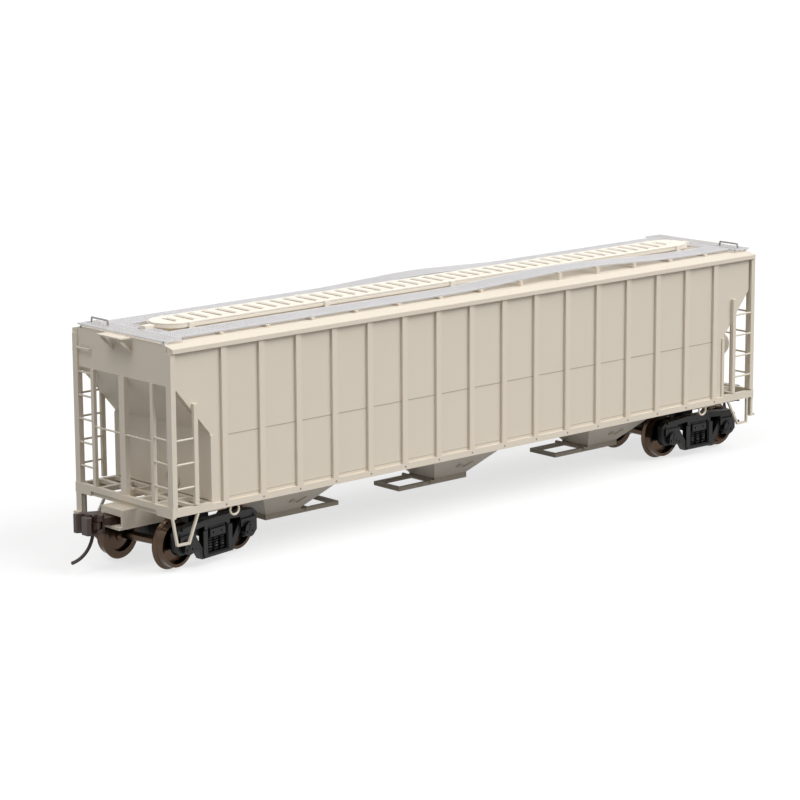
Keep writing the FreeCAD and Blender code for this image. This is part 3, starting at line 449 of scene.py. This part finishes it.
def funnel_latches():
    """Small moulded gate latch on each funnel front: base plate, curved lever and end knob."""
    form = Form()
    for n in range(3):
        box = Box("hopper_bay_%d" % (n + 1))
        middle = (box.x0 + box.x1) / 2
        for sign in (-1, 1):
            form.place = funnel_front(middle + LATCH_SHIFT, LATCH_UP, sign)
            form.block(-2.0, -0.6, -0.5, 0.5, -0.05, 0.14, 0.05)
            lever = [(-2.2 + 0.34 * k, 0.8 * math.sin(k * 0.62), 0.26) for k in range(14)]
            form.tube(lever, 0.16, 8)
            form.lathe((2.4, 0.7, -0.02), (0, 0, 1), [(0.36, 0), (0.36, 0.3), (0.25, 0.4)], 12)
            form.lathe((-1.4, 0, 0.1), (0, 0, 1), [(0.22, 0), (0.22, 0.24), (0.12, 0.3)], 10)
    form.piece("funnel_latches", "car_body", paint)


funnel_latches()


# ---------------------------------------------------------------- truck details
SPRING_Y = 11.8
SPRING_X = 2.1
SPRING_FOOT_Z = 3.05
SPRING_HEIGHT = 3.1
SPRING_TURNS = 5
TURN_STEPS = 12
COIL_RADIUS = 0.68
AXLE_X = 10.2
AXLE_Z = 5.94
CAP_Y = 13.8
FRAME_Y = 12.95


def truck_details(end):
    """Coil springs in the side frames, bolts on the bearing caps and retaining bolts on the frames."""
    place = truck_place(end)
    coils = Form(place)
    bolts = Form(place)
    for side in (-1, 1):
        y = side * SPRING_Y
        coils.block(-2.9, 2.9, side * 10.9, side * 11.05, 2.9, 6.45)
        for x in (-SPRING_X, 0.0, SPRING_X):
            steps = SPRING_TURNS * TURN_STEPS
            turn = 2 * math.pi / TURN_STEPS
            path = [(x + COIL_RADIUS * math.cos(turn * k), y + COIL_RADIUS * math.sin(turn * k),
                     SPRING_FOOT_Z + SPRING_HEIGHT * k / steps) for k in range(steps + 1)]
            coils.tube(path, 0.17, 6)
            coils.lathe((x, y, 2.9), (0, 0, 1), [(0.3, 0), (0.3, 3.4)], 10)
        for axle in (-1, 1):
            x = axle * AXLE_X
            for k in range(3):
                angle = math.radians(90 + 120 * k)
                spot = (x + 1.05 * math.cos(angle), side * CAP_Y, AXLE_Z + 1.05 * math.sin(angle))
                bolts.bolt(spot, (0, side, 0), 0.26, 0.22)
            bolts.lathe((x, side * (CAP_Y - 0.02), AXLE_Z), (0, side, 0), [(0.55, 0), (0.5, 0.12)], 14)
            bolts.bolt((axle * 12.4, side * 12.7, 8.9), (0, side, 0), 0.25, 0.25)
            bolts.block(axle * 4.9, axle * 3.5, side * 12.6, side * FRAME_Y, 2.6, 8.4, 0.08)
        bolts.block(-2.6, 2.6, side * 12.5, side * FRAME_Y, 6.4, 8.4, 0.12)
        bolts.block(-4.6, 4.6, side * 12.6, side * FRAME_Y, 1.95, 2.75, 0.1)
        for x in (-1.4, 1.4):
            bolts.bolt((x, side * FRAME_Y, 7.4), (0, side, 0), 0.25, 0.2)
    springs = coils.piece("coil_springs_" + end, "truck_" + end, truck_black)
    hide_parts("truck_%s_springs" % end)
    bolts.piece("truck_fittings_" + end, "truck_" + end, truck_black)


truck_details("a")
truck_details("b")


# ---------------------------------------------------------------- stage, light and camera
def seen_directly(nodes, links):
    """1 for camera, mirror-like and see-through rays, 0 for bounced light."""
    path = nodes.new("ShaderNodeLightPath")
    last = path.outputs["Is Camera Ray"]
    for name in ("Is Glossy Ray", "Is Transmission Ray"):
        most = nodes.new("ShaderNodeMath")
        most.operation = "MAXIMUM"
        links.new(last, most.inputs[0])
        links.new(path.outputs[name], most.inputs[1])
        last = most.outputs[0]
    return last


def floor_material(bounce, shadow_depth):
    """White ground that keeps a soft shadow, and bounces less light than it shows."""
    material = bpy.data.materials.new("floor_white")
    material.use_nodes = True
    nodes = material.node_tree.nodes
    links = material.node_tree.links
    nodes.clear()
    out = nodes.new("ShaderNodeOutputMaterial")
    white = nodes.new("ShaderNodeBsdfDiffuse")
    white.inputs["Color"].default_value = (1, 1, 1, 1)
    glow = nodes.new("ShaderNodeEmission")
    glow.inputs["Strength"].default_value = 1.0
    seen = nodes.new("ShaderNodeMixShader")
    seen.inputs["Fac"].default_value = shadow_depth
    links.new(glow.outputs[0], seen.inputs[1])
    links.new(white.outputs[0], seen.inputs[2])
    matt = nodes.new("ShaderNodeBsdfDiffuse")
    matt.inputs["Color"].default_value = (bounce, bounce, bounce, 1)
    choose = nodes.new("ShaderNodeMixShader")
    links.new(seen_directly(nodes, links), choose.inputs["Fac"])
    links.new(matt.outputs[0], choose.inputs[1])
    links.new(seen.outputs[0], choose.inputs[2])
    links.new(choose.outputs[0], out.inputs["Surface"])
    return material


def make_floor():
    half = 3.0
    mesh = bpy.data.meshes.new("floor")
    corners = [(-half, -half, 0), (half, -half, 0), (half, half, 0), (-half, half, 0)]
    mesh.from_pydata(corners, [], [(0, 1, 2, 3)])
    mesh.materials.append(floor_material(bounce=0.3, shadow_depth=0.3))
    floor = bpy.data.objects.new("floor", mesh)
    bpy.context.scene.collection.objects.link(floor)


def sun(name, towards, strength, spread):
    """Broad soft light that shines along a direction, evenly over the whole floor."""
    light = bpy.data.lights.new(name, "SUN")
    light.energy = strength
    light.angle = math.radians(spread)
    lamp = bpy.data.objects.new(name, light)
    lamp.rotation_euler = Vector(towards).to_track_quat("-Z", "Y").to_euler()
    bpy.context.scene.collection.objects.link(lamp)


def make_world(seen, lit):
    """White for what looks straight at it, softer as a light."""
    world = bpy.data.worlds.new("studio")
    bpy.context.scene.world = world
    world.use_nodes = True
    nodes = world.node_tree.nodes
    links = world.node_tree.links
    background = nodes["Background"]
    level = nodes.new("ShaderNodeMapRange")
    level.inputs["To Min"].default_value = lit
    level.inputs["To Max"].default_value = seen
    links.new(seen_directly(nodes, links), level.inputs["Value"])
    links.new(level.outputs["Result"], background.inputs["Strength"])
    background.inputs["Color"].default_value = (1, 1, 1, 1)


CAMERA_PLACE = (-0.47680, -0.52075, 0.17268)
CAMERA_YAW = 42.02
CAMERA_PITCH = -11.561
CAMERA_ROLL = -0.279
CAMERA_LENS = 132.66


def make_camera():
    yaw = math.radians(CAMERA_YAW)
    pitch = math.radians(CAMERA_PITCH)
    roll = math.radians(CAMERA_ROLL)
    ahead = Vector((math.sin(yaw) * math.cos(pitch), math.cos(yaw) * math.cos(pitch), math.sin(pitch)))
    level = Vector((math.cos(yaw), -math.sin(yaw), 0))
    upright = level.cross(ahead)
    right = level * math.cos(roll) + upright * math.sin(roll)
    up = upright * math.cos(roll) - level * math.sin(roll)
    data = bpy.data.cameras.new("camera")
    data.sensor_width = 36
    data.lens = CAMERA_LENS
    data.shift_x = -0.0180
    data.shift_y = -0.0198
    data.clip_start = 0.01
    camera = bpy.data.objects.new("camera", data)
    turned = Matrix((right, up, -ahead)).transposed()
    camera.matrix_world = Matrix.Translation(CAMERA_PLACE) @ turned.to_4x4()
    bpy.context.scene.collection.objects.link(camera)
    bpy.context.scene.camera = camera


make_floor()
make_world(seen=1.0, lit=0.22)
sun("key", (-0.42, 0.6, -0.68), 2.3, 40)
sun("overhead", (-0.05, 0.15, -1.0), 0.8, 110)
sun("end_fill", (0.5, 0.1, -0.85), 1.0, 30)
make_camera()
bpy.context.scene.view_settings.view_transform = "Standard"
